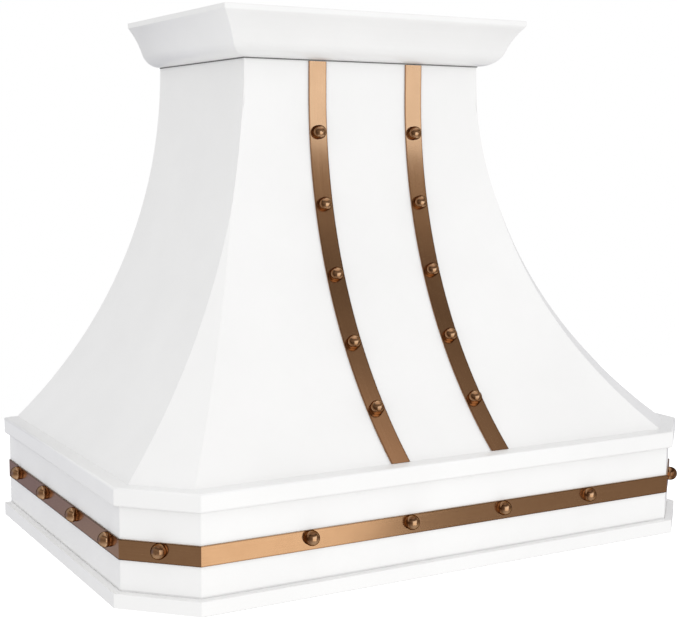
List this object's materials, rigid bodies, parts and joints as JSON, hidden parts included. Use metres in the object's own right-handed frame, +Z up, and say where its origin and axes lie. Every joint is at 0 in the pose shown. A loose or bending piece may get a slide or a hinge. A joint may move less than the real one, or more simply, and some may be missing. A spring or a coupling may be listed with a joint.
{
  "type": "wall-mounted range hood",
  "caption": "White wall-mounted range hood with a flared canopy, crown moulding, copper straps and band with ball-headed rivets, blower, baffle filters and a duct collar.",
  "frame": {"origin": "on the wall plane, in the middle of the back panel's lower edge", "axes": "+X along the wall to the right as seen from the room, +Y into the wall, +Z up"},
  "size_m": [0.927, 0.5725, 0.753],
  "materials": {
    "white_shell": "matte white powder coat",
    "copper": "brushed copper, lacquered",
    "steel": "brushed",
    "zinc": "zinc coated",
    "motor": "satin black paint",
    "plastic": "moulded",
    "glass": "frosted"
  },
  "bodies": {
    "hood": {"front_panel": "white_shell", "left_panel": "white_shell", "right_panel": "white_shell", "left_corner_panel": "white_shell", "right_corner_panel": "white_shell", "back_panel": "white_shell", "crown_moulding": "white_shell", "ledge_rim": "white_shell", "apron": "white_shell", "bottom_trim": "white_shell", "apron_band": "copper", "left_strap": "copper", "right_strap": "copper", "left_strap_rivets": "copper", "right_strap_rivets": "copper", "band_rivets": "copper", "liner_pan": "steel", "liner_screws": "steel", "filter_brackets": "steel", "filter_clips": "steel", "control_bezel": "steel", "left_lamp_housing": "steel", "right_lamp_housing": "steel", "plate_screws": "steel", "collar_screws": "steel", "damper_rod": "steel", "upper_wall_rail": "zinc", "lower_wall_rail": "zinc", "duct_plate": "zinc", "plate_upstands": "zinc", "duct_collar": "zinc", "blower_housing": "zinc", "blower_face": "zinc", "inlet_ring": "zinc", "outlet_flange": "zinc", "junction_box": "zinc", "junction_cover": "zinc", "blower_motor": "motor", "control_box": "plastic", "switch_board": "plastic", "cable_gland": "plastic", "crown_seal": "plastic", "left_lamp_lens": "glass", "right_lamp_lens": "glass"},
    "impeller": {"impeller": "zinc", "motor_shaft": "steel"},
    "left_flap": {"left_damper_flap": "zinc"},
    "right_flap": {"right_damper_flap": "zinc"},
    "left_filter": {"left_filter_frame": "steel", "left_filter_baffles": "steel", "left_filter_handle": "steel"},
    "right_filter": {"right_filter_frame": "steel", "right_filter_baffles": "steel", "right_filter_handle": "steel"},
    "button_light": {"button_light": "steel"},
    "button_off": {"button_off": "steel"},
    "button_low": {"button_low": "steel"},
    "button_medium": {"button_medium": "steel"},
    "button_high": {"button_high": "steel"}
  },
  "joints": [
    {"name": "impeller_spin", "type": "hinge", "parent": "hood", "child": "impeller", "pos_m": [-0.081, -0.154, 0.48], "axis": [0, 1, 0], "continuous": true},
    {"name": "left_flap_hinge", "type": "hinge", "parent": "hood", "child": "left_flap", "pos_m": [0, -0.154, 0.6675], "axis": [0, 1, 0], "range_deg": [0, 80]},
    {"name": "right_flap_hinge", "type": "hinge", "parent": "hood", "child": "right_flap", "pos_m": [0, -0.154, 0.6675], "axis": [0, -1, 0], "range_deg": [0, 80]},
    {"name": "left_filter_hinge", "type": "hinge", "parent": "hood", "child": "left_filter", "pos_m": [-0.18715, -0.058, 0.065], "axis": [1, 0, 0], "range_deg": [0, 70]},
    {"name": "right_filter_hinge", "type": "hinge", "parent": "hood", "child": "right_filter", "pos_m": [0.18715, -0.058, 0.065], "axis": [1, 0, 0], "range_deg": [0, 70]},
    {"name": "button_light_press", "type": "slide", "parent": "hood", "child": "button_light", "axis": [0, 0, 1], "range_m": [0, 0.0025], "stiffness_N_per_m": 400},
    {"name": "button_off_press", "type": "slide", "parent": "hood", "child": "button_off", "axis": [0, 0, 1], "range_m": [0, 0.0025], "stiffness_N_per_m": 400},
    {"name": "button_low_press", "type": "slide", "parent": "hood", "child": "button_low", "axis": [0, 0, 1], "range_m": [0, 0.0025], "stiffness_N_per_m": 400},
    {"name": "button_medium_press", "type": "slide", "parent": "hood", "child": "button_medium", "axis": [0, 0, 1], "range_m": [0, 0.0025], "stiffness_N_per_m": 400},
    {"name": "button_high_press", "type": "slide", "parent": "hood", "child": "button_high", "axis": [0, 0, 1], "range_m": [0, 0.0025], "stiffness_N_per_m": 400}
  ]
}
